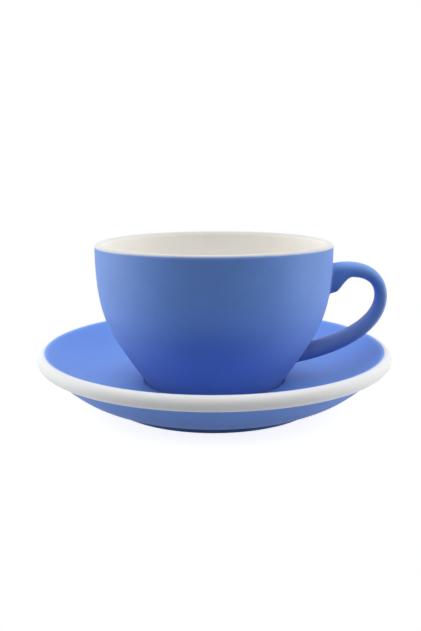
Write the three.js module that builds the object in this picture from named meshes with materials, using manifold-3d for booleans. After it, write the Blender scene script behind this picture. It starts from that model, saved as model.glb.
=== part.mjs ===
// A coffee cup standing in the well of its saucer.
// Millimetres, +Z up. Cup and saucer share the Z axis, the saucer stands on z = 0, and the handle
// points along +X. A profile is a list of (radius, height) points, turned about the axis.
import * as THREE from 'three';
import { mergeVertices } from 'three/addons/utils/BufferGeometryUtils.js';
import Module from 'manifold-3d';

// Saucer, heights from the table
const SAUCER_RADIUS = 75;
const SAUCER_HEIGHT = 23.8;
const SAUCER_EDGE_ROUNDING = 2.87;
const SAUCER_FOOT_RADIUS = 45.3;
const SAUCER_FOOT_WIDTH = 4.3;
const SAUCER_FOOT_HEIGHT = 1.95;
const SAUCER_RECESS = 2.1;
const SAUCER_BASE_THICKNESS = 5.6;
const WELL_DEPTH = 1;
const WELL_EDGE_WIDTH = 0.5;

// Slope in degrees and pull, as a share of the chord, at both ends of the saucer's two long curves
const UNDERSIDE_FOOT_SLOPE = 15;
const UNDERSIDE_FOOT_PULL = 0.38;
const UNDERSIDE_EDGE_SLOPE = 43.6;
const UNDERSIDE_EDGE_PULL = 0.479;
const DISH_EDGE_SLOPE = 47;
const DISH_EDGE_PULL = 0.36;
const DISH_WELL_SLOPE = 2;
const DISH_WELL_PULL = 0.46;

// Angles on the rolled edge's rounding: where the underside joins it, and both ends of its white band
const UNDERSIDE_JOIN = -104;
const RIM_BAND_LOWER = -72;
const RIM_BAND_UPPER = 99;

// Cup, heights from the bottom of its foot
const CUP_HEIGHT = 60.35;
const LIP_RADIUS = 49.7;
const LIP_THICKNESS = 3.6;
const FOOT_RADIUS = 29.7;
const FOOT_WIDTH = 3.8;
const FOOT_HEIGHT = 1.1;
const FOOT_RECESS = 2.2;
const FLOOR_THICKNESS = 4.8;

// Slope and pull at both ends of the bowl's outer and inner walls
const WALL_FOOT_SLOPE = 55.5;
const WALL_FOOT_PULL = 0.461;
const WALL_LIP_PULL = 0.4755;
const INSIDE_LIP_PULL = 0.537;
const INSIDE_FLOOR_PULL = 0.481;

// White glaze: thickness of the coat, and the angle on the lip's rounding where it meets the blue
const GLAZE_THICKNESS = 0.5;
const LIP_GLAZE_LINE = 42;

// Handle, heights below the lip or above the foot
const HANDLE_REACH = 23.65;
const HANDLE_WIDTH = 10.5;
const HANDLE_ROOT_DROP = 14.8;
const HANDLE_ROOT_SLOPE = 20;
const HANDLE_BOW_DROP = 22.9;
const HANDLE_BOW_SLOPE = 87;
const HANDLE_TAIL_HEIGHT = 10.65;
const HANDLE_TAIL_SLOPE = 10.5;
const HANDLE_ROOT_THICKNESS = 6.9;
const HANDLE_BOW_THICKNESS = 4.75;
const HANDLE_TAIL_THICKNESS = 7.3;
const HANDLE_SQUARENESS = 2.15;
const PAD_DROP = 5.6;
const PAD_LENGTH = 9.5;
const ROOT_PULL = 0.7;
const BOW_PULL_ABOVE = 0.285;
const BOW_PULL_BELOW = 0.189;
const TAIL_PULL = 0.668;

// How far the handle's ends run into the bowl before they are trimmed to its wall
const HANDLE_ROOT_DEPTH = 5.5;

// Clearances: foot in the well, slip joint between handle and bowl, and bevel of both foot rings
const WELL_PLAY = 0.5;
const SLIP_JOINT = 0.3;
const FOOT_BEVEL = 0.5;

// Fineness of the faceted surfaces
const TURN_SEGMENTS = 60;
const WALL_STEPS = 9;
const LIP_STEPS = 4;
const DISH_STEPS = 7;
const RIM_STEPS = 6;
const HANDLE_STATIONS = 32;
const HANDLE_SIDES = 16;

// Places that follow from the sizes
const WELL_FLOOR = SAUCER_RECESS + SAUCER_BASE_THICKNESS;
const WELL_RADIUS = FOOT_RADIUS + WELL_PLAY;
const LIP_ROUNDING = LIP_THICKNESS / 2;
const LIP_CENTRE = new THREE.Vector2(LIP_RADIUS - LIP_ROUNDING, CUP_HEIGHT - LIP_ROUNDING);
const EDGE_CENTRE = new THREE.Vector2(
  SAUCER_RADIUS - SAUCER_EDGE_ROUNDING,
  SAUCER_HEIGHT - SAUCER_EDGE_ROUNDING,
);
const CUP_FLOOR = FOOT_RECESS + FLOOR_THICKNESS;

const wasm = await Module();
wasm.setup();

const point = (radius, height) => new THREE.Vector2(radius, height);

// Direction of an angle in degrees, counted from outwards towards upwards.
function heading(degrees) {
  const angle = THREE.MathUtils.degToRad(degrees);
  return point(Math.cos(angle), Math.sin(angle));
}

// Curve that leaves its start and arrives at its end along the given headings.
function flow(start, startDegrees, startPull, end, endDegrees, endPull) {
  const chord = start.distanceTo(end);
  const first = heading(startDegrees).multiplyScalar(startPull * chord).add(start);
  const second = heading(endDegrees).multiplyScalar(-endPull * chord).add(end);
  return new THREE.CubicBezierCurve(start, first, second, end);
}

// Point on a circle at an angle in degrees.
function onCircle(centre, radius, degrees) {
  return heading(degrees).multiplyScalar(radius).add(centre);
}

// Points on a circle between two angles, both ends included.
function arc(centre, radius, fromDegrees, toDegrees, steps) {
  return Array.from({ length: steps + 1 }, (_, i) => {
    return onCircle(centre, radius, THREE.MathUtils.lerp(fromDegrees, toDegrees, i / steps));
  });
}

// Points along a curve, moved to the left of its direction of travel.
function beside(curve, steps, distance) {
  return Array.from({ length: steps + 1 }, (_, i) => {
    const along = curve.getTangent(i / steps);
    const left = point(-along.y, along.x);
    return left.multiplyScalar(distance).add(curve.getPoint(i / steps));
  });
}

// Radius at which a rising wall passes a height, found by halving.
function radiusAt(wall, height) {
  let low = 0;
  let high = 1;
  while (high - low > 1e-9) {
    const middle = (low + high) / 2;
    if (wall.getPoint(middle).y < height) low = middle;
    else high = middle;
  }
  return wall.getPoint(low).x;
}

// Solid of revolution about Z. The profile runs with the material on its left.
function turn(profile) {
  return new THREE.LatheGeometry(profile, TURN_SEGMENTS).rotateX(Math.PI / 2);
}

// Foot ring's section, from the axis above its recess round to the top of its outer side.
function footRing(radius, width, recess) {
  const inner = radius - width;
  return [
    point(0, recess),
    point(inner, recess),
    point(inner, FOOT_BEVEL),
    point(inner + FOOT_BEVEL, 0),
    point(radius - FOOT_BEVEL, 0),
    point(radius, FOOT_BEVEL),
  ];
}

function toSolid(geometry) {
  const bare = geometry.clone();
  bare.deleteAttribute('normal');
  bare.deleteAttribute('uv');
  const welded = mergeVertices(bare);
  const vertProperties = new Float32Array(welded.attributes.position.array);
  const triVerts = new Uint32Array(welded.index.array);
  return new wasm.Manifold(new wasm.Mesh({ numProp: 3, vertProperties, triVerts }));
}

function toGeometry(solid) {
  const mesh = solid.getMesh();
  const geometry = new THREE.BufferGeometry();
  geometry.setAttribute('position', new THREE.BufferAttribute(mesh.vertProperties, 3));
  geometry.setIndex(new THREE.BufferAttribute(mesh.triVerts, 1));
  geometry.computeVertexNormals();
  return geometry;
}

// The bowl's outer wall rises from its foot, and its inner wall falls from the lip to the floor.
const outerWall = flow(
  point(FOOT_RADIUS, FOOT_HEIGHT), WALL_FOOT_SLOPE, WALL_FOOT_PULL,
  point(LIP_RADIUS, LIP_CENTRE.y), 90, WALL_LIP_PULL,
);
const innerWall = flow(
  point(LIP_RADIUS - LIP_THICKNESS, LIP_CENTRE.y), -90, INSIDE_LIP_PULL,
  point(0, CUP_FLOOR), 180, INSIDE_FLOOR_PULL,
);

// Line on which the white coat lies, over the lip and down to the middle of the floor
const underLining = [
  ...arc(LIP_CENTRE, LIP_ROUNDING - GLAZE_THICKNESS, LIP_GLAZE_LINE, 180, LIP_STEPS),
  ...beside(innerWall, WALL_STEPS, GLAZE_THICKNESS).slice(1),
];

function bowlGeometry() {
  return turn([
    ...footRing(FOOT_RADIUS, FOOT_WIDTH, FOOT_RECESS),
    ...outerWall.getPoints(WALL_STEPS),
    onCircle(LIP_CENTRE, LIP_ROUNDING, LIP_GLAZE_LINE),
    ...underLining,
  ]);
}

function liningGeometry() {
  return turn([
    ...underLining.toReversed(),
    ...arc(LIP_CENTRE, LIP_ROUNDING, LIP_GLAZE_LINE, 180, LIP_STEPS),
    ...innerWall.getPoints(WALL_STEPS).slice(1),
  ]);
}

// Middle line of the handle: out of the bowl at the pad, over the bow, and back along the tail.
function handleLine() {
  const rootHeight = CUP_HEIGHT - HANDLE_ROOT_DROP;
  const padStart = radiusAt(outerWall, rootHeight);
  const root = point(padStart - HANDLE_ROOT_DEPTH, rootHeight);
  const bow = point(LIP_RADIUS + HANDLE_REACH - HANDLE_BOW_THICKNESS / 2, CUP_HEIGHT - HANDLE_BOW_DROP);
  const tailRadius = radiusAt(outerWall, HANDLE_TAIL_HEIGHT) - HANDLE_ROOT_DEPTH;
  const tail = point(tailRadius, HANDLE_TAIL_HEIGHT);
  return {
    padStart,
    above: flow(root, HANDLE_ROOT_SLOPE, ROOT_PULL, bow, -HANDLE_BOW_SLOPE, BOW_PULL_ABOVE),
    below: flow(bow, -HANDLE_BOW_SLOPE, BOW_PULL_BELOW, tail, 180 + HANDLE_TAIL_SLOPE, TAIL_PULL),
  };
}

// Middle, direction and half thicknesses of the handle at a share of its way from root to tail.
function handleStation(line, share) {
  const isAbove = share < 0.5;
  const curve = isAbove ? line.above : line.below;
  const along = isAbove ? share * 2 : share * 2 - 1;
  const from = isAbove ? HANDLE_ROOT_THICKNESS : HANDLE_BOW_THICKNESS;
  const to = isAbove ? HANDLE_BOW_THICKNESS : HANDLE_TAIL_THICKNESS;
  const half = THREE.MathUtils.lerp(from, to, THREE.MathUtils.smoothstep(along, 0, 1)) / 2;
  const middle = curve.getPoint(along);
  const padFade = THREE.MathUtils.smoothstep(middle.x, line.padStart, line.padStart + PAD_LENGTH);
  const pad = isAbove ? PAD_DROP * (1 - padFade) : 0;
  return { middle, along: curve.getTangent(along), outerHalf: half, innerHalf: half + pad };
}

// Softly squared section: a circle's coordinate pushed towards the corners.
function squared(value) {
  return Math.sign(value) * Math.abs(value) ** (2 / HANDLE_SQUARENESS);
}

// A capped cylinder bent along the middle line, then trimmed to the bowl's wall.
function handleGeometry() {
  const line = handleLine();
  const bar = new THREE.CylinderGeometry(1, 1, 1, HANDLE_SIDES, HANDLE_STATIONS);
  const corners = bar.attributes.position;
  for (let i = 0; i < corners.count; i += 1) {
    const { middle, along, outerHalf, innerHalf } = handleStation(line, corners.getY(i) + 0.5);
    const across = squared(corners.getX(i));
    const lift = across * (across > 0 ? outerHalf : innerHalf);
    const side = squared(corners.getZ(i)) * (HANDLE_WIDTH / 2);
    corners.setXYZ(i, middle.x - along.y * lift, side, middle.y + along.x * lift);
  }
  const trim = turn([
    point(0, FOOT_HEIGHT),
    ...beside(outerWall, WALL_STEPS, -SLIP_JOINT),
    point(0, LIP_CENTRE.y),
  ]);
  return toGeometry(toSolid(bar).subtract(toSolid(trim)));
}

// Saucer's underside, from its foot out to the rolled edge, and its dish, from the edge in to the well.
const dishStart = 90 + DISH_EDGE_SLOPE;
const underside = flow(
  point(SAUCER_FOOT_RADIUS, SAUCER_FOOT_HEIGHT), UNDERSIDE_FOOT_SLOPE, UNDERSIDE_FOOT_PULL,
  onCircle(EDGE_CENTRE, SAUCER_EDGE_ROUNDING, UNDERSIDE_JOIN), UNDERSIDE_EDGE_SLOPE, UNDERSIDE_EDGE_PULL,
);
const dish = flow(
  onCircle(EDGE_CENTRE, SAUCER_EDGE_ROUNDING, dishStart), 180 + DISH_EDGE_SLOPE, DISH_EDGE_PULL,
  point(WELL_RADIUS + WELL_EDGE_WIDTH, WELL_FLOOR + WELL_DEPTH), 180 + DISH_WELL_SLOPE, DISH_WELL_PULL,
);

// Face of the saucer's white band and the line on which it lies
const rimFace = arc(EDGE_CENTRE, SAUCER_EDGE_ROUNDING, RIM_BAND_LOWER, RIM_BAND_UPPER, RIM_STEPS);
const underRim = arc(
  EDGE_CENTRE, SAUCER_EDGE_ROUNDING - GLAZE_THICKNESS, RIM_BAND_LOWER, RIM_BAND_UPPER, RIM_STEPS,
);

function dishGeometry() {
  return turn([
    ...footRing(SAUCER_FOOT_RADIUS, SAUCER_FOOT_WIDTH, SAUCER_RECESS),
    ...underside.getPoints(DISH_STEPS),
    ...arc(EDGE_CENTRE, SAUCER_EDGE_ROUNDING, UNDERSIDE_JOIN, RIM_BAND_LOWER, 2).slice(1),
    ...underRim,
    ...arc(EDGE_CENTRE, SAUCER_EDGE_ROUNDING, RIM_BAND_UPPER, dishStart, 2),
    ...dish.getPoints(DISH_STEPS).slice(1),
    point(WELL_RADIUS, WELL_FLOOR + WELL_DEPTH / 2),
    point(WELL_RADIUS, WELL_FLOOR),
    point(0, WELL_FLOOR),
  ]);
}

function rimGeometry() {
  return turn([
    ...rimFace,
    ...underRim.toReversed(),
    rimFace[0],
  ]);
}

const BLUE_GLAZE = { color: '#6f93e0', roughness: 0.55, metalness: 0 };
const WHITE_GLAZE = { color: '#f1eee6', roughness: 0.22, metalness: 0 };

function piece(name, geometry, finish) {
  const mesh = new THREE.Mesh(geometry, new THREE.MeshStandardMaterial(finish));
  mesh.name = name;
  return mesh;
}

const saucer = new THREE.Group();
saucer.add(
  piece('saucer_dish', dishGeometry(), BLUE_GLAZE),
  piece('saucer_white_rim', rimGeometry(), WHITE_GLAZE),
);

const cup = new THREE.Group();
cup.position.z = WELL_FLOOR;
cup.add(
  piece('cup_bowl', bowlGeometry(), BLUE_GLAZE),
  piece('cup_white_lining', liningGeometry(), WHITE_GLAZE),
  piece('cup_handle', handleGeometry(), BLUE_GLAZE),
);

const cupAndSaucer = new THREE.Group();
cupAndSaucer.add(saucer, cup);

export default cupAndSaucer;
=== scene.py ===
"""A glazed coffee cup in the well of its saucer, modelled and dressed for soft studio light.

Metres and +Z up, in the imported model's frame: cup and saucer turn about the Z axis, the saucer stands
on z = 0 and the handle points along +X. A half section is a chain of points in the XZ plane, where x is
the distance from the axis and z the height.
"""

from __future__ import annotations

import logging
import math
from bisect import bisect_left
from dataclasses import dataclass, field, replace
from enum import Enum
from functools import cached_property
from typing import Any, Union

import bmesh
import bpy
from mathutils import Matrix, Vector


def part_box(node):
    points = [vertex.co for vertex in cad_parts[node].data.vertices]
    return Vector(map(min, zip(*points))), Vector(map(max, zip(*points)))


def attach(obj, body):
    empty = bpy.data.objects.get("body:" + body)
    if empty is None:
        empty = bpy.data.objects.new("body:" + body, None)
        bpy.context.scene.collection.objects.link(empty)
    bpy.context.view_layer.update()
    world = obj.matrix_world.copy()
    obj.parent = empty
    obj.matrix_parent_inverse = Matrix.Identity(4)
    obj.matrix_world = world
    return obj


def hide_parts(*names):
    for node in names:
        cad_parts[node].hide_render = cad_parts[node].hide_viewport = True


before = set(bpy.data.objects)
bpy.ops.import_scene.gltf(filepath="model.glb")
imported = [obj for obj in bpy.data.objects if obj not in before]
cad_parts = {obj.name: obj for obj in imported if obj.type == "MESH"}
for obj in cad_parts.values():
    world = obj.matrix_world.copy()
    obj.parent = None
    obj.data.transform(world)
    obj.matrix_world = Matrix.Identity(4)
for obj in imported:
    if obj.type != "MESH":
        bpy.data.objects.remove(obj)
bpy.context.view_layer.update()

LOG = logging.getLogger("cup_and_saucer")

MM = 0.001
WELD = 0.0005 * MM
SHARP_ANGLE = math.radians(38)
TURN_STEPS = 192
CORNER_STEPS = 5
HALVINGS = 40
NOISE_LOW = 0.3
NOISE_HIGH = 0.7
GLAZE_IOR = 1.5

Colour = tuple[float, float, float]


class Body(Enum):
    """The two things that come apart."""

    SAUCER = "saucer"
    CUP = "cup"


class Slot(Enum):
    """The record's two finishes."""

    BLUE = "blue_glaze"
    WHITE = "white_glaze"


class Measure(Enum):
    """What the level of a glaze line is counted in."""

    HEIGHT = "height"
    RADIUS = "radius"


class Wire:
    """A shader socket; arithmetic on it adds Math nodes to its tree."""

    def __init__(self, bench: Bench, socket: bpy.types.NodeSocket) -> None:
        """Keep the socket and the bench that adds nodes beside it."""
        self.bench = bench
        self.socket = socket

    def math(self, operation: str, *values: Number) -> Wire:
        """Add a Math node.

        Args:
            operation: The Math node's operation.
            values: Its inputs in order, numbers or wires.

        Returns:
            The node's result.
        """
        return self.bench.node("ShaderNodeMath", {"operation": operation}, dict(enumerate(values)))

    def __add__(self, other: Number) -> Wire:
        """Sum."""
        return self.math("ADD", self, other)

    __radd__ = __add__

    def __sub__(self, other: Number) -> Wire:
        """Difference."""
        return self.math("SUBTRACT", self, other)

    def __rsub__(self, other: Number) -> Wire:
        """Difference from a number."""
        return self.math("SUBTRACT", other, self)

    def __mul__(self, other: Number) -> Wire:
        """Product."""
        return self.math("MULTIPLY", self, other)

    __rmul__ = __mul__

    def __truediv__(self, other: Number) -> Wire:
        """Quotient."""
        return self.math("DIVIDE", self, other)

    def __pow__(self, power: Number) -> Wire:
        """Power."""
        return self.math("POWER", self, power)

    def __gt__(self, other: Number) -> Wire:
        """One where the value is above the other, zero elsewhere."""
        return self.math("GREATER_THAN", self, other)

    def __or__(self, other: Number) -> Wire:
        """The larger of two masks."""
        return self.math("MAXIMUM", self, other)


Number = Union[float, Wire]
Input = Union[float, bool, tuple, Wire]


class Bench:
    """Adds nodes to one shader tree."""

    def __init__(self, tree: bpy.types.ShaderNodeTree) -> None:
        """Clear the tree."""
        self.tree = tree
        self.tree.nodes.clear()

    def node(
        self,
        kind: str,
        settings: dict[str, Any] | None = None,
        inputs: dict[str | int, Input] | None = None,
        output: str | int = 0,
    ) -> Wire:
        """Add a node, set it up and feed its sockets.

        Args:
            kind: The node's type name.
            settings: Its properties, set before the sockets.
            inputs: Values or wires by socket name or number.
            output: Which of its outputs to return.

        Returns:
            The chosen output.
        """
        made = self.tree.nodes.new(kind)
        for name, value in (settings or {}).items():
            setattr(made, name, value)
        for name, value in (inputs or {}).items():
            socket = made.inputs[name]
            if isinstance(value, Wire):
                self.tree.links.new(value.socket, socket)
            else:
                socket.default_value = value
        return Wire(self, made.outputs[output]) if made.outputs else Wire(self, made.inputs[0])

    def mix(self, share: Number, low: Input, high: Input) -> Wire:
        """Blend two colours.

        Args:
            share: How much of the second colour shows.
            low: The colour at share 0.
            high: The colour at share 1.

        Returns:
            The blended colour.
        """
        ends = {0: share, 6: opaque(low), 7: opaque(high)}
        return self.node("ShaderNodeMix", {"data_type": "RGBA"}, ends, 2)

    def rise(self, value: Wire, low: Number, high: Number) -> Wire:
        """Smooth step.

        Args:
            value: What is compared.
            low: Where the step is still 0.
            high: Where the step has reached 1.

        Returns:
            A mask from 0 to 1.
        """
        settings = {"interpolation_type": "SMOOTHSTEP"}
        return self.node("ShaderNodeMapRange", settings, {"Value": value, "From Min": low, "From Max": high})

    def noise(self, place: Wire, size: float, detail: float = 2.0) -> Wire:
        """Cloudy noise.

        Args:
            place: Where it is read.
            size: Width of its clouds in metres.
            detail: How many finer layers it has.

        Returns:
            A value about 0.5, mostly from NOISE_LOW to NOISE_HIGH.
        """
        return self.node("ShaderNodeTexNoise", None, {"Vector": place, "Scale": 1 / size, "Detail": detail})


def opaque(colour: Input) -> Input:
    """Add full alpha to a plain colour and leave a wire alone."""
    return (*colour, 1.0) if isinstance(colour, tuple) else colour


@dataclass(frozen=True)
class Spot:
    """Where a point of a piece lies, as wires.

    These are the point itself, its height, its distance from the axis and its side, which is 0 at front
    and back and 1 at left and right.
    """

    point: Wire
    height: Wire
    radius: Wire
    side: Wire

    @classmethod
    def on(cls, bench: Bench) -> Spot:
        """Read the piece's own coordinates on a bench."""
        point = bench.node("ShaderNodeTexCoord", output="Object")
        parts = {axis: bench.node("ShaderNodeSeparateXYZ", None, {0: point}, axis) for axis in "XYZ"}
        radius = (parts["X"] * parts["X"] + parts["Y"] * parts["Y"]) ** 0.5
        side = parts["X"] * parts["X"] / (radius * radius)
        return cls(point, parts["Z"], radius, side)


@dataclass(frozen=True)
class Glaze:
    """A fired glaze: its colour where it lies thick and thin, its gloss and its skin."""

    thick: Colour
    thin: Colour
    roughness: float
    roughness_play: float
    shine: float = 0.5
    bloom: float = 0.0
    cloud: float = 26 * MM
    gloss_fineness: float = 3
    mottle: float = 1.7 * MM
    mottle_share: float = 0.3
    ripple: float = 6 * MM
    ripple_depth: float = 0.012 * MM
    peel: float = 0.9 * MM
    peel_depth: float = 0.003 * MM

    def colour(self, bench: Bench, spot: Spot) -> Wire:
        """Broad clouds of thinner glaze with a fine mottle in them."""
        clouds = bench.noise(spot.point, self.cloud)
        mottle = bench.noise(spot.point, self.mottle)
        share = clouds * (1 - self.mottle_share) + mottle * self.mottle_share
        return bench.mix(bench.rise(share, NOISE_LOW, NOISE_HIGH), self.thick, self.thin)

    def gloss(self, bench: Bench, spot: Spot) -> Wire:
        """Roughness that wanders a little over the surface."""
        clouds = bench.noise(spot.point, self.cloud / self.gloss_fineness)
        return self.roughness + self.roughness_play * (clouds - 0.5)

    def skin(self, bench: Bench, spot: Spot) -> Wire:
        """Height of the melted surface: slow ripples and a fine orange peel."""
        ripples = self.ripple_depth * bench.noise(spot.point, self.ripple)
        return ripples + self.peel_depth * bench.noise(spot.point, self.peel)


@dataclass(frozen=True)
class BareClay:
    """Fired clay where a foot ring was wiped clean of glaze."""

    pale: Colour = (0.62, 0.56, 0.48)
    dark: Colour = (0.48, 0.42, 0.35)
    roughness: float = 0.85
    grain: float = 0.35 * MM
    grain_depth: float = 0.02 * MM

    def colour(self, bench: Bench, spot: Spot) -> Wire:
        """Sandy grain."""
        return bench.mix(bench.noise(spot.point, self.grain), self.dark, self.pale)


@dataclass(frozen=True)
class WhiteLine:
    """Where blue glaze runs out under the white, as a level that the white lies beyond.

    The level is a height on the cup's lip and a distance from the axis on the saucer's edge, where the
    line above the rolled edge and the line below it differ. It may sag at the sides. A white inside
    begins at a distance from the axis.
    """

    above: float
    below: float
    parting: float
    measure: Measure
    softness: float
    inside: float = 0.0
    sag: float = 0.0
    wander: float = 0.2 * MM
    wander_size: float = 7 * MM

    def whiteness(self, bench: Bench, spot: Spot) -> Wire:
        """Mask of the white.

        Args:
            bench: Where the nodes are made.
            spot: The point's place.

        Returns:
            0 on the blue and 1 past the line.
        """
        level = getattr(spot, self.measure.value)
        wandered = level + self.wander * (bench.noise(spot.point, self.wander_size) - 0.5)
        is_above = spot.height > self.parting
        line = self.below + (self.above - self.below) * is_above - self.sag * spot.side
        return bench.rise(wandered - line, -self.softness, self.softness) | self.within(spot)

    def within(self, spot: Spot) -> Wire:
        """Mask of the white inside."""
        return self.inside - spot.radius > 0.0


@dataclass(frozen=True)
class Underside:
    """Painted shade: a darker glaze below the middle of a dish's wall, which is flat as far as a radius and
    then bends upwards.
    """

    glaze: Glaze
    level: float
    flat_radius: float
    bend: float
    softness: float = 0.5 * MM

    def below(self, bench: Bench, spot: Spot) -> Wire:
        """Mask of the underside's painted shade."""
        past_flat = (spot.radius - self.flat_radius) | 0.0
        middle = self.level + self.bend * past_flat * past_flat
        return bench.rise(middle - spot.height, -self.softness, self.softness)


@dataclass(frozen=True)
class Finish:
    """One piece's material: a glaze that differs on the underside, past a line, low down or at the foot.

    The underside's darker blue is painted shade. Past the line lies the white glaze, low down another colour,
    which is painted shade on the cup and handle and the warm white inside on the lining, and the foot is bare
    clay.
    """

    name: str
    glaze: Glaze
    beyond: Glaze | None = None
    line: WhiteLine | None = None
    underside: Underside | None = None
    low_colour: Glaze | None = None
    low_colour_below: float = 0.0
    low_colour_fade: float = 1.6 * MM
    bare_below: float | None = None
    clay: BareClay = BareClay()
    bare_softness: float = 0.05 * MM
    bare_wander: float = 0.1 * MM
    bare_wander_size: float = 4 * MM

    def material(self) -> bpy.types.Material:
        """Make the node material."""
        made = bpy.data.materials.new(self.name)
        made.use_nodes = True
        bench = Bench(made.node_tree)
        spot = Spot.on(bench)
        colour = self.glaze.colour(bench, spot)
        roughness = self.glaze.gloss(bench, spot)
        relief = self.glaze.skin(bench, spot)
        # Painted shade: the underside takes a darker blue.
        if self.underside:
            below = self.underside.below(bench, spot)
            colour = bench.mix(below, colour, self.underside.glaze.colour(bench, spot))
        if self.line and self.beyond:
            white = self.line.whiteness(bench, spot)
            colour = bench.mix(white, colour, self.beyond.colour(bench, spot))
            roughness = roughness + white * (self.beyond.roughness - self.glaze.roughness)
        # Below a height another colour: painted shade on the cup and handle, and the warm white inside under
        # the lip on the lining.
        if self.low_colour:
            depth = bench.rise(self.low_colour_below - spot.height, 0.0, self.low_colour_fade)
            if self.line and self.line.inside:
                depth = depth * self.line.within(spot)
            colour = bench.mix(depth, colour, self.low_colour.colour(bench, spot))
        if self.bare_below is not None:
            wander = self.bare_wander * (bench.noise(spot.point, self.bare_wander_size) - 0.5)
            ragged = spot.height + wander
            bare = 1 - bench.rise(ragged - self.bare_below, -self.bare_softness, self.bare_softness)
            colour = bench.mix(bare, colour, self.clay.colour(bench, spot))
            roughness = roughness + bare * (self.clay.roughness - self.glaze.roughness)
            relief = relief + bare * self.clay.grain_depth * bench.noise(spot.point, self.clay.grain)
        bump = {"Strength": 1.0, "Distance": 1.0, "Height": relief}
        normal = bench.node("ShaderNodeBump", None, bump, "Normal")
        inputs = {"Base Color": colour, "Roughness": roughness, "Normal": normal, "IOR": GLAZE_IOR}
        inputs["Specular IOR Level"] = self.glaze.shine
        inputs["Sheen Weight"] = self.glaze.bloom
        surface = bench.node("ShaderNodeBsdfPrincipled", None, inputs)
        bench.node("ShaderNodeOutputMaterial", None, {"Surface": surface})
        return made


BLUE_GLAZE = Glaze(
    thick=(0.126, 0.265, 0.66),
    thin=(0.141, 0.291, 0.715),
    roughness=0.62,
    roughness_play=0.1,
    shine=0.34,
    bloom=0.06,
)
# Painted shade: a greyer, darker blue laid over the cup's lower wall towards the foot.
LOW_SHADE_GLAZE = replace(BLUE_GLAZE, thick=(0.163, 0.248, 0.535), thin=(0.179, 0.273, 0.585))
# Painted shade: a greyer, darker blue laid over the handle's lower part towards the tail.
TAIL_SHADE_GLAZE = replace(BLUE_GLAZE, thick=(0.148, 0.227, 0.50), thin=(0.163, 0.249, 0.545))
# Painted light and shade: a lighter blue for the saucer's top and a darker one for its underside.
DISH_TOP_LIT_GLAZE = replace(BLUE_GLAZE, thick=(0.15, 0.31, 0.74), thin=(0.167, 0.34, 0.79))
UNDERSIDE_SHADE_GLAZE = replace(BLUE_GLAZE, thick=(0.097, 0.228, 0.627), thin=(0.109, 0.25, 0.68))
LINING_GLAZE = Glaze(
    thick=(0.825, 0.805, 0.765),
    thin=(0.85, 0.83, 0.795),
    roughness=0.45,
    roughness_play=0.06,
    shine=0.25,
)
# Painted shade: a greyer white for the cup's lip, darker than the white inside.
LIP_SHADE_GLAZE = replace(LINING_GLAZE, thick=(0.58, 0.582, 0.57), thin=(0.605, 0.607, 0.60))
EDGE_GLAZE = replace(LINING_GLAZE, thick=(0.69, 0.692, 0.695), thin=(0.715, 0.717, 0.725))


def heading(degrees: float) -> Vector:
    """Direction in the XZ plane, counted from outwards towards upwards."""
    return Vector((math.cos(math.radians(degrees)), 0.0, math.sin(math.radians(degrees))))


def smooth(value: float, low: float, high: float) -> float:
    """Smooth step from 0 at low to 1 at high."""
    share = min(max((value - low) / (high - low), 0.0), 1.0)
    return share * share * (3 - 2 * share)


@dataclass(frozen=True)
class Flow:
    """Curve in the XZ plane that leaves its start and reaches its end along given headings.

    A pull is a share of the chord.
    """

    start: Vector
    leaving: float
    leaving_pull: float
    end: Vector
    arriving: float
    arriving_pull: float

    @cached_property
    def controls(self) -> tuple[Vector, Vector, Vector, Vector]:
        """The cubic curve's four control points."""
        chord = (self.end - self.start).length
        first = self.start + heading(self.leaving) * self.leaving_pull * chord
        second = self.end - heading(self.arriving) * self.arriving_pull * chord
        return self.start, first, second, self.end

    def at(self, share: float) -> Vector:
        """Point at a share of the way."""
        a, b, c, d = self.controls
        rest = 1 - share
        return a * rest**3 + b * 3 * rest**2 * share + c * 3 * rest * share**2 + d * share**3

    def along(self, share: float) -> Vector:
        """Direction of travel at a share of the way."""
        a, b, c, d = self.controls
        rest = 1 - share
        return ((b - a) * rest**2 + (c - b) * 2 * rest * share + (d - c) * share**2).normalized()

    def points(self, steps: int) -> list[Vector]:
        """Evenly shared points, both ends included."""
        return [self.at(step / steps) for step in range(steps + 1)]

    def beside(self, steps: int, distance: float) -> list[Vector]:
        """Points moved to the left of the direction of travel."""
        shares = [step / steps for step in range(steps + 1)]
        return [self.at(s) + Vector((-self.along(s).z, 0.0, self.along(s).x)) * distance for s in shares]

    def share_at_height(self, height: float) -> float:
        """Share of the way at which a rising curve passes a height, found by halving."""
        low, high = 0.0, 1.0
        for _ in range(HALVINGS):
            middle = (low + high) / 2
            low, high = (middle, high) if self.at(middle).z < height else (low, middle)
        return low


def arc(centre: Vector, radius: float, start: float, end: float, steps: int) -> list[Vector]:
    """Points on a circle between two angles in degrees.

    Args:
        centre: The circle's centre in the XZ plane.
        radius: The circle's radius.
        start: First angle, from outwards towards upwards.
        end: Last angle.
        steps: Number of chords.

    Returns:
        The points, both ends included.
    """
    return [centre + heading(start + (end - start) * step / steps) * radius for step in range(steps + 1)]


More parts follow.
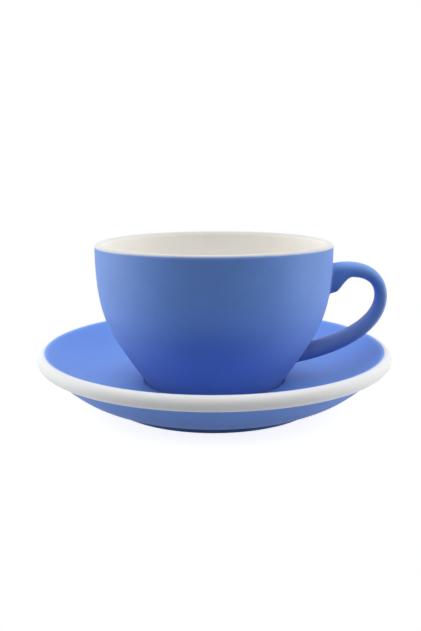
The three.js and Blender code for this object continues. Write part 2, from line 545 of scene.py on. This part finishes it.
class HalfSection:
    """Half section of a turned piece, built point by point."""

    def __init__(self) -> None:
        """Start with a new mesh and no points."""
        self.mesh = bmesh.new()
        self.chain: list[bmesh.types.BMVert] = []
        self.rounded: dict[float, list[bmesh.types.BMVert]] = {}

    def corner(self, radius: float, height: float, rounding: float = 0.0) -> HalfSection:
        """Add a corner.

        Args:
            radius: Its distance from the axis.
            height: Its height.
            rounding: How far from the corner its rounding starts, 0 for a sharp one.

        Returns:
            The half section itself.
        """
        self.follow([Vector((radius, 0.0, height))])
        if rounding:
            self.rounded.setdefault(rounding, []).append(self.chain[-1])
        return self

    def follow(self, points: list[Vector]) -> HalfSection:
        """Add the points of a curve or an arc."""
        for point in points:
            if self.chain and (self.chain[-1].co - point).length < WELD:
                continue
            self.chain.append(self.mesh.verts.new(point))
            if len(self.chain) > 1:
                self.mesh.edges.new(self.chain[-2:])
        return self

    def turned(self, name: str, finish: Finish, closed: bool = False) -> bpy.types.Object:
        """Round the marked corners and turn the section about the axis.

        Args:
            name: The piece's name.
            finish: Its material.
            closed: Whether the section closes on itself, off the axis.

        Returns:
            The new piece.
        """
        if closed:
            self.mesh.edges.new((self.chain[-1], self.chain[0]))
        for rounding, corners in self.rounded.items():
            bmesh.ops.bevel(
                self.mesh, geom=corners, offset=rounding, offset_type="OFFSET", affect="VERTICES",
                segments=CORNER_STEPS, profile=0.5, material=-1, clamp_overlap=True,
            )
        bmesh.ops.spin(
            self.mesh, geom=[*self.mesh.verts, *self.mesh.edges], cent=(0, 0, 0), axis=(0, 0, 1),
            dvec=(0, 0, 0), angle=math.tau, steps=TURN_STEPS, use_merge=True,
        )
        return finished(self.mesh, name, finish)


def finished(shape: bmesh.types.BMesh, name: str, finish: Finish) -> bpy.types.Object:
    """Close a shape's seams, turn its faces outwards and make it an object of the scene.

    Args:
        shape: The mesh under work, freed here.
        name: The piece's name.
        finish: Its material.

    Returns:
        The new piece, at the origin.
    """
    bmesh.ops.remove_doubles(shape, verts=shape.verts, dist=WELD)
    bmesh.ops.recalc_face_normals(shape, faces=shape.faces)
    for face in shape.faces:
        face.smooth = True
    mesh = bpy.data.meshes.new(name)
    shape.to_mesh(mesh)
    shape.free()
    mesh.set_sharp_from_angle(angle=SHARP_ANGLE)
    mesh.materials.append(finish.material())
    piece = bpy.data.objects.new(name, mesh)
    bpy.context.scene.collection.objects.link(piece)
    return piece


def place(piece: bpy.types.Object, body: Body, slot: Slot, node: str) -> None:
    """Let a piece ride on its body in a node's stead, and report it.

    Args:
        piece: The piece.
        body: What it moves with.
        slot: The record's finish that it takes; not used.
        node: The node that it stands for.
    """
    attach(piece, body.value)
    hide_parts(node)
    LOG.info("%s: %d faces, rides on %s for %s", piece.name, len(piece.data.polygons), body.value, node)


@dataclass
class Saucer:
    """Saucer with a well for the cup, a foot ring and a white rolled edge; heights from the table."""

    radius: float = 75 * MM
    height: float = 23.8 * MM
    edge_rounding: float = 2.87 * MM
    foot_radius: float = 45.3 * MM
    foot_width: float = 4.3 * MM
    foot_height: float = 1.95 * MM
    foot_rounding: float = 0.6 * MM
    foot_bevel: float = 0.5 * MM
    recess: float = 2.1 * MM
    recess_rounding: float = 0.9 * MM
    bare_height: float = 0.1 * MM
    well_floor: float = 7.7 * MM
    well_radius: float = 30.2 * MM
    well_depth: float = 1 * MM
    well_edge_width: float = 0.5 * MM
    well_rounding: float = 0.25 * MM
    underside_join: float = -104
    crease_rounding: float = 0.25 * MM
    band_lower: float = -72
    band_upper: float = 99
    band_thickness: float = 0.5 * MM
    line_inset: float = 0.25 * MM
    line_softness: float = 0.4 * MM
    dish_slope: float = 47
    dish_pull: float = 0.36
    well_slope: float = 182
    well_pull: float = 0.46
    foot_slope: float = 15
    foot_pull: float = 0.38
    edge_slope: float = 43.6
    edge_pull: float = 0.479
    middle_level: float = 5.2 * MM
    middle_flat_radius: float = 40 * MM
    middle_bend: float = 16.5
    dish_steps: int = 64
    under_steps: int = 56
    join_steps: int = 12
    band_steps: int = 48
    under_band_steps: int = 40
    edge_centre: Vector = field(init=False)

    def __post_init__(self) -> None:
        """Find the middle of the rolled edge."""
        self.edge_centre = Vector((self.radius - self.edge_rounding, 0.0, self.height - self.edge_rounding))

    def on_edge(self, degrees: float, inset: float = 0.0) -> Vector:
        """Point on the rolled edge, or a little under its skin."""
        return self.edge_centre + heading(degrees) * (self.edge_rounding - inset)

    def band(self) -> tuple[float, float]:
        """Angles at which the white coat itself ends, inside the lines that show."""
        inset = math.degrees(self.line_inset / self.edge_rounding)
        return self.band_lower + inset, self.band_upper - inset

    def under_band(self) -> list[Vector]:
        """Line on which the white coat lies."""
        lower, upper = self.band()
        radius = self.edge_rounding - self.band_thickness
        return arc(self.edge_centre, radius, lower, upper, self.under_band_steps)

    def white_line(self) -> WhiteLine:
        """Where the blue runs out at the white edge."""
        upper, lower = self.on_edge(self.band_upper), self.on_edge(self.band_lower)
        return WhiteLine(upper.x, lower.x, self.edge_centre.z, Measure.RADIUS, self.line_softness)

    def dish_finish(self) -> Finish:
        """Blue lighter on the dish's top as painted light and darker on the underside as painted shade, white
        at the rolled edge and bare clay under the foot ring.
        """
        underside = Underside(UNDERSIDE_SHADE_GLAZE, self.middle_level, self.middle_flat_radius, self.middle_bend)
        return Finish(
            "saucer_satin_blue", DISH_TOP_LIT_GLAZE, EDGE_GLAZE, self.white_line(), underside,
            bare_below=self.bare_height,
        )

    def band_finish(self) -> Finish:
        """White that ends in a soft line of blue."""
        return Finish("edge_satin_white", BLUE_GLAZE, EDGE_GLAZE, self.white_line())

    def build_dish(self) -> bpy.types.Object:
        """Turn the blue dish with its well and foot ring."""
        inner_foot = self.foot_radius - self.foot_width
        lower, upper = self.band()
        dish_start = 90 + self.dish_slope
        foot_top = Vector((self.foot_radius, 0.0, self.foot_height))
        well_top = Vector((self.well_radius + self.well_edge_width, 0.0, self.well_floor + self.well_depth))
        edge_start, edge_end = self.on_edge(self.underside_join), self.on_edge(dish_start)
        under = Flow(foot_top, self.foot_slope, self.foot_pull, edge_start, self.edge_slope, self.edge_pull)
        dish = Flow(edge_end, 90 + dish_start, self.dish_pull, well_top, self.well_slope, self.well_pull)
        below_band = arc(self.edge_centre, self.edge_rounding, self.underside_join, lower, self.join_steps)
        above_band = arc(self.edge_centre, self.edge_rounding, upper, dish_start, self.join_steps)
        section = HalfSection().corner(0, self.recess).corner(inner_foot, self.recess, self.recess_rounding)
        section.corner(inner_foot, 0, self.foot_bevel).corner(self.foot_radius, 0, self.foot_bevel)
        section.corner(self.foot_radius, self.foot_height, self.foot_rounding)
        section.follow(under.points(self.under_steps)[1:-1])
        section.corner(edge_start.x, edge_start.z, self.crease_rounding)
        section.follow(below_band).follow(self.under_band()).follow(above_band)
        section.follow(dish.points(self.dish_steps)[1:-1])
        section.corner(well_top.x, well_top.z, self.well_rounding)
        section.corner(self.well_radius, self.well_floor + self.well_depth / 2)
        section.corner(self.well_radius, self.well_floor, self.well_rounding).corner(0, self.well_floor)
        return section.turned("saucer_dish_glazed", self.dish_finish())

    def build_band(self) -> bpy.types.Object:
        """Turn the white coat round the rolled edge."""
        lower, upper = self.band()
        section = HalfSection()
        section.follow(arc(self.edge_centre, self.edge_rounding, lower, upper, self.band_steps))
        section.follow(self.under_band()[::-1])
        return section.turned("saucer_edge_band", self.band_finish(), closed=True)

    def build(self) -> None:
        """Make the saucer's pieces."""
        place(self.build_dish(), Body.SAUCER, Slot.BLUE, "saucer_dish")
        place(self.build_band(), Body.SAUCER, Slot.WHITE, "saucer_white_rim")


@dataclass
class Cup:
    """Round-bellied bowl on a foot ring, lined in white over its lip; heights from its foot."""

    seat: float
    height: float = 60.35 * MM
    lip_radius: float = 49.7 * MM
    lip_thickness: float = 3.6 * MM
    foot_radius: float = 29.7 * MM
    foot_width: float = 3.8 * MM
    foot_height: float = 1.1 * MM
    foot_rounding: float = 0.25 * MM
    foot_bevel: float = 0.5 * MM
    foot_recess: float = 2.2 * MM
    recess_rounding: float = 0.9 * MM
    bare_height: float = 0.1 * MM
    floor_thickness: float = 4.8 * MM
    foot_slope: float = 55.5
    foot_pull: float = 0.461
    lip_pull: float = 0.4755
    inside_pull: float = 0.537
    floor_pull: float = 0.481
    coat: float = 0.5 * MM
    glaze_line: float = 42
    line_inset: float = 0.25 * MM
    line_softness: float = 0.38 * MM
    line_sag: float = 0.85 * MM
    # Painted shade on the lower wall: the height it reaches and how far it fades in.
    shade_top: float = 42 * MM
    shade_depth: float = 36 * MM
    wall_steps: int = 72
    lip_steps: int = 36
    under_wall_steps: int = 64
    under_lip_steps: int = 28
    lip_join_steps: int = 8
    lip_rounding: float = field(init=False)
    lip_centre: Vector = field(init=False)
    outer_wall: Flow = field(init=False)
    inner_wall: Flow = field(init=False)

    def __post_init__(self) -> None:
        """Lay out the lip and both walls."""
        self.lip_rounding = self.lip_thickness / 2
        lip_level = self.seat + self.height - self.lip_rounding
        self.lip_centre = Vector((self.lip_radius - self.lip_rounding, 0, lip_level))
        foot = Vector((self.foot_radius, 0, self.seat + self.foot_height))
        floor = Vector((0, 0, self.seat + self.foot_recess + self.floor_thickness))
        outside_lip = Vector((self.lip_radius, 0, lip_level))
        inside_lip = Vector((self.lip_radius - self.lip_thickness, 0, lip_level))
        self.outer_wall = Flow(foot, self.foot_slope, self.foot_pull, outside_lip, 90, self.lip_pull)
        self.inner_wall = Flow(inside_lip, -90, self.inside_pull, floor, 180, self.floor_pull)

    def coat_end(self) -> float:
        """Angle on the lip at which the white coat itself ends, inside the line that shows."""
        return self.glaze_line + math.degrees(self.line_inset / self.lip_rounding)

    def under_coat(self) -> list[Vector]:
        """Line on which the white coat lies, over the lip and down to the middle of the floor."""
        radius = self.lip_rounding - self.coat
        over_lip = arc(self.lip_centre, radius, self.coat_end(), 180, self.under_lip_steps)
        return over_lip + self.inner_wall.beside(self.under_wall_steps, self.coat)[1:]

    def white_line(self, inside: float = 0.0) -> WhiteLine:
        """Where the blue runs out on the lip's outer side, with the radius at which a white inside begins."""
        level = (self.lip_centre + heading(self.glaze_line) * self.lip_rounding).z
        return WhiteLine(level, level, level, Measure.HEIGHT, self.line_softness, inside, self.line_sag)

    def bowl_finish(self) -> Finish:
        """Blue darkened towards the foot by painted shade, a greyer white over the lip as painted shade, and
        bare clay under the foot ring.
        """
        return Finish(
            "bowl_satin_blue", BLUE_GLAZE, LIP_SHADE_GLAZE, self.white_line(),
            low_colour=LOW_SHADE_GLAZE, low_colour_below=self.seat + self.shade_top, low_colour_fade=self.shade_depth,
            bare_below=self.seat + self.bare_height,
        )

    def lining_finish(self) -> Finish:
        """Warm white inside and a greyer white on the lip, which is painted shade."""
        return Finish(
            "lining_satin_white", BLUE_GLAZE, LIP_SHADE_GLAZE, self.white_line(self.lip_centre.x),
            low_colour=LINING_GLAZE, low_colour_below=self.lip_centre.z + self.lip_rounding,
        )

    def build_bowl(self) -> bpy.types.Object:
        """Turn the blue bowl with its foot ring."""
        inner_foot = self.foot_radius - self.foot_width
        recess = self.seat + self.foot_recess
        lip_start = arc(self.lip_centre, self.lip_rounding, 0, self.coat_end(), self.lip_join_steps)
        section = HalfSection().corner(0, recess).corner(inner_foot, recess, self.recess_rounding)
        section.corner(inner_foot, self.seat, self.foot_bevel)
        section.corner(self.foot_radius, self.seat, self.foot_bevel)
        section.corner(self.foot_radius, self.seat + self.foot_height, self.foot_rounding)
        section.follow(self.outer_wall.points(self.wall_steps)[1:])
        section.follow(lip_start[1:])
        section.follow(self.under_coat())
        return section.turned("bowl_glazed", self.bowl_finish())

    def build_lining(self) -> bpy.types.Object:
        """Turn the white coat of the inside and the lip."""
        section = HalfSection().follow(self.under_coat()[::-1])
        section.follow(arc(self.lip_centre, self.lip_rounding, self.coat_end(), 180, self.lip_steps))
        section.follow(self.inner_wall.points(self.wall_steps)[1:])
        return section.turned("bowl_lining", self.lining_finish())

    def build(self) -> None:
        """Make the bowl's pieces."""
        place(self.build_bowl(), Body.CUP, Slot.BLUE, "cup_bowl")
        place(self.build_lining(), Body.CUP, Slot.WHITE, "cup_white_lining")


@dataclass
class Handle:
    """Loop handle: a softly squared bar that leaves the bowl at a pad, bows out and returns as a tail."""

    cup: Cup
    reach: float = 23.65 * MM
    width: float = 10.5 * MM
    root_drop: float = 14.8 * MM
    bow_drop: float = 22.9 * MM
    tail_height: float = 10.65 * MM
    root_thickness: float = 6.9 * MM
    bow_thickness: float = 4.75 * MM
    tail_thickness: float = 7.3 * MM
    root_slope: float = 20
    root_pull: float = 0.7
    bow_slope: float = -87
    bow_pull_above: float = 0.285
    bow_pull_below: float = 0.189
    tail_slope: float = 190.5
    tail_pull: float = 0.668
    squareness: float = 2.15
    pad_drop: float = 5.6 * MM
    pad_length: float = 9.5 * MM
    root_depth: float = 5.5 * MM
    sink: float = 0.6 * MM
    root_fillet: float = 1.2 * MM
    tail_fillet: float = 0.7 * MM
    # Painted shade on the handle: the height it reaches and how far it fades in.
    shade_top: float = 54 * MM
    shade_depth: float = 44 * MM
    sides: int = 56
    stations: int = 150
    crowding: float = 0.9
    root_within: float = 0.3
    tail_within: float = 0.7
    wall_steps: int = 300
    wall_points: list[Vector] = field(init=False)
    wall_heights: list[float] = field(init=False)
    pad_start: float = field(init=False)
    above: Flow = field(init=False)
    below: Flow = field(init=False)

    def __post_init__(self) -> None:
        """Lay out the bowl's wall and the middle line."""
        top = self.cup.seat + self.cup.height
        wall = self.cup.outer_wall
        self.wall_points = wall.points(self.wall_steps)
        self.wall_heights = [point.z for point in self.wall_points]
        root_height = top - self.root_drop
        tail_height = self.cup.seat + self.tail_height
        self.pad_start = wall.at(wall.share_at_height(root_height)).x
        tail_start = wall.at(wall.share_at_height(tail_height)).x
        root = Vector((self.pad_start - self.root_depth, 0, root_height))
        bow = Vector((self.cup.lip_radius + self.reach - self.bow_thickness / 2, 0, top - self.bow_drop))
        tail = Vector((tail_start - self.root_depth, 0, tail_height))
        self.above = Flow(root, self.root_slope, self.root_pull, bow, self.bow_slope, self.bow_pull_above)
        self.below = Flow(bow, self.bow_slope, self.bow_pull_below, tail, self.tail_slope, self.tail_pull)

    def gap(self, point: Vector) -> float:
        """Distance of a point from the bowl's wall, negative inside it."""
        step = min(max(bisect_left(self.wall_heights, point.z), 1), self.wall_steps)
        foot = self.wall_points[step - 1]
        rise = self.wall_points[step] - foot
        radius = foot.x + rise.x * (point.z - foot.z) / rise.z
        return (math.hypot(point.x, point.y) - radius) * rise.z / rise.length

    def bar(self, way: float, turn: float) -> tuple[Vector, Vector]:
        """Plain bar without its fillets.

        Args:
            way: Share of the way from root to tail.
            turn: Angle round the section, from its outer side.

        Returns:
            A point of the bar's skin and the direction that it faces.
        """
        is_above = way < 0.5
        line = self.above if is_above else self.below
        share = way * 2 if is_above else way * 2 - 1
        first = self.root_thickness if is_above else self.bow_thickness
        last = self.bow_thickness if is_above else self.tail_thickness
        half = (first + (last - first) * smooth(share, 0, 1)) / 2
        middle, along = line.at(share), line.along(share)
        pad = self.pad_drop * (1 - smooth(middle.x, self.pad_start, self.pad_start + self.pad_length))
        reach_in = half + pad if is_above else half
        across, aside = math.cos(turn), math.sin(turn)
        lift = math.copysign(abs(across) ** (2 / self.squareness), across)
        side = math.copysign(abs(aside) ** (2 / self.squareness), aside)
        outwards = Vector((-along.z, 0, along.x))
        depth = half if lift > 0 else reach_in
        point = middle + outwards * lift * depth + Vector((0, side * self.width / 2, 0))
        power = self.squareness - 1
        faces = outwards * math.copysign(abs(lift) ** power, lift) / depth
        faces += Vector((0, math.copysign(abs(side) ** power, side) / (self.width / 2), 0))
        return point, faces.normalized()

    def way_at_wall(self, turn: float, low: float, high: float) -> float:
        """Share of the way at which the bar's skin is as deep in the wall as it sinks.

        Args:
            turn: Angle round the section.
            low: A share that lies deeper in the wall.
            high: A share outside the wall.

        Returns:
            The share, found by halving.
        """
        for _ in range(HALVINGS):
            middle = (low + high) / 2
            is_deep = self.gap(self.bar(middle, turn)[0]) < -self.sink
            low, high = (middle, high) if is_deep else (low, middle)
        return low

    def skin(self, way: float, turn: float) -> Vector:
        """Point of the bar with its ends flared into the wall."""
        point, faces = self.bar(way, turn)
        fillet = self.root_fillet if way < 0.5 else self.tail_fillet
        nearness = 1 - min(max(self.gap(point) / fillet, 0.0), 1.0)
        return point + faces * fillet * (1 - math.sqrt(1 - nearness**2))

    def finish(self) -> Finish:
        """Blue darkened towards the tail by painted shade."""
        return Finish(
            "handle_satin_blue", BLUE_GLAZE,
            low_colour=TAIL_SHADE_GLAZE, low_colour_below=self.cup.seat + self.shade_top, low_colour_fade=self.shade_depth,
        )

    def build(self) -> None:
        """Roll a grid into the bar, with more stations near its ends."""
        shape = bmesh.new()
        bmesh.ops.create_grid(shape, x_segments=self.sides, y_segments=self.stations, size=0.5)
        ends: dict[int, tuple[float, float]] = {}
        for vert in shape.verts:
            column = round((vert.co.x + 0.5) * self.sides) % self.sides
            turn = math.tau * column / self.sides
            if column not in ends:
                root_end = self.way_at_wall(turn, 0.0, self.root_within)
                tail_end = self.way_at_wall(turn, 1.0, self.tail_within)
                ends[column] = root_end, tail_end
            first, last = ends[column]
            row = vert.co.y + 0.5
            eased = row - self.crowding * math.sin(math.tau * row) / math.tau
            vert.co = self.skin(first + (last - first) * eased, turn)
        bmesh.ops.remove_doubles(shape, verts=shape.verts, dist=WELD)
        bmesh.ops.holes_fill(shape, edges=[edge for edge in shape.edges if edge.is_boundary])
        place(finished(shape, "handle_glazed", self.finish()), Body.CUP, Slot.BLUE, "cup_handle")


@dataclass(frozen=True)
class SoftBox:
    """One soft light of the studio: where it stands, how narrow it is and how bright its middle is."""

    towards: tuple[float, float, float]
    narrowness: float
    light: float

    def glow(self, bench: Bench, direction: Wire) -> Wire:
        """Light that reaches the object along a direction."""
        middle = tuple(Vector(self.towards).normalized())
        pair = {0: direction, 1: middle}
        facing = bench.node("ShaderNodeVectorMath", {"operation": "DOT_PRODUCT"}, pair, "Value")
        return (facing | 0.0) ** self.narrowness * self.light


@dataclass
class Studio:
    """Soft lights at both sides, behind, above and high at left and right, a pale floor and the camera."""

    soft_boxes: tuple[SoftBox, ...] = (
        SoftBox((-1, 0.28, -0.05), 30, 10.8),
        SoftBox((1, 0.2, -0.05), 30, 10.0),
        SoftBox((0, 1, 0.2), 2, 0.4),
        SoftBox((0, 1, 1), 4, 1.5),
        SoftBox((-1, -0.2, 0.9), 6, 1.3),
        SoftBox((1, -0.2, 0.9), 6, 1.3),
        SoftBox((0, -0.1, 1), 4, 1.5),
    )
    floor_radius: float = 140 * MM
    floor_sides: int = 96
    floor_drop: float = 0.05 * MM
    floor_colour: Colour = (0.6, 0.6, 0.6)
    floor_lift: float = 0.85
    eye: Vector = field(default_factory=lambda: Vector((0, -0.3036, 0.0992)))
    focal_pixels: float = 722.5
    picture_height: int = 631
    sensor: float = 36.0
    nearest: float = 10 * MM
    pitch: float = 11.72
    yaw: float = 0.288
    roll: float = 0.233

    def seen(self, bench: Bench) -> Wire:
        """Mask of the rays that show the backdrop itself."""
        kinds = ("Is Camera Ray", "Is Glossy Ray", "Is Transmission Ray")
        camera, mirrored, through = (bench.node("ShaderNodeLightPath", output=kind) for kind in kinds)
        return camera | mirrored | through

    def hang_lights(self) -> None:
        """Light the world with the soft boxes and show it as white."""
        world = bpy.data.worlds.new("studio_light")
        world.use_nodes = True
        bpy.context.scene.world = world
        bench = Bench(world.node_tree)
        direction = bench.node("ShaderNodeTexCoord", output="Generated")
        light = sum(box.glow(bench, direction) for box in self.soft_boxes)
        seen = self.seen(bench)
        strength = light + seen * (1 - light)
        glow = bench.node("ShaderNodeBackground", None, {"Color": (1, 1, 1, 1), "Strength": strength})
        bench.node("ShaderNodeOutputWorld", None, {"Surface": glow})

    def floor_material(self) -> bpy.types.Material:
        """Pale floor that shows as white away from the object's shadow and is clear from below."""
        made = bpy.data.materials.new("pale_floor")
        made.use_nodes = True
        bench = Bench(made.node_tree)
        matt = bench.node("ShaderNodeBsdfDiffuse", None, {"Color": opaque(self.floor_colour)})
        lift = bench.node("ShaderNodeEmission", None, {"Strength": self.floor_lift * self.seen(bench)})
        lit = bench.node("ShaderNodeAddShader", None, {0: matt, 1: lift})
        below = bench.node("ShaderNodeNewGeometry", output="Backfacing")
        clear = bench.node("ShaderNodeBsdfTransparent")
        surface = bench.node("ShaderNodeMixShader", None, {0: below, 1: lit, 2: clear})
        bench.node("ShaderNodeOutputMaterial", None, {"Surface": surface})
        return made

    def lay_floor(self) -> None:
        """Lay a round floor just under the saucer's foot."""
        shape = bmesh.new()
        lowered = Matrix.Translation((0, 0, -self.floor_drop))
        bmesh.ops.create_circle(
            shape, cap_ends=True, segments=self.floor_sides, radius=self.floor_radius, matrix=lowered
        )
        mesh = bpy.data.meshes.new("floor")
        shape.to_mesh(mesh)
        shape.free()
        mesh.materials.append(self.floor_material())
        floor = bpy.data.objects.new("floor", mesh)
        bpy.context.scene.collection.objects.link(floor)

    def set_camera(self) -> None:
        """Stand the camera where the picture was taken from."""
        data = bpy.data.cameras.new("camera")
        data.sensor_width = self.sensor
        data.lens = self.focal_pixels * self.sensor / self.picture_height
        data.clip_start = self.nearest
        camera = bpy.data.objects.new("camera", data)
        level = Matrix.Rotation(math.radians(90 - self.pitch), 4, "X")
        turned = Matrix.Rotation(math.radians(self.yaw), 4, "Z")
        rolled = Matrix.Rotation(math.radians(-self.roll), 4, "Z")
        camera.matrix_world = Matrix.Translation(self.eye) @ turned @ level @ rolled
        bpy.context.scene.collection.objects.link(camera)
        bpy.context.scene.camera = camera

    def build(self) -> None:
        """Set up light, floor and camera."""
        bpy.context.scene.view_settings.view_transform = "Standard"
        self.hang_lights()
        self.lay_floor()
        self.set_camera()
        LOG.info("studio: %d soft lights, floor and camera", len(self.soft_boxes))


def main() -> None:
    """Build the studio, the saucer, the cup and its handle."""
    logging.basicConfig(level=logging.INFO, format="%(name)s: %(message)s")
    Studio().build()
    Saucer().build()
    cup = Cup(seat=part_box("cup_bowl")[0].z)
    cup.build()
    Handle(cup).build()


if __name__ == "__main__":
    main()
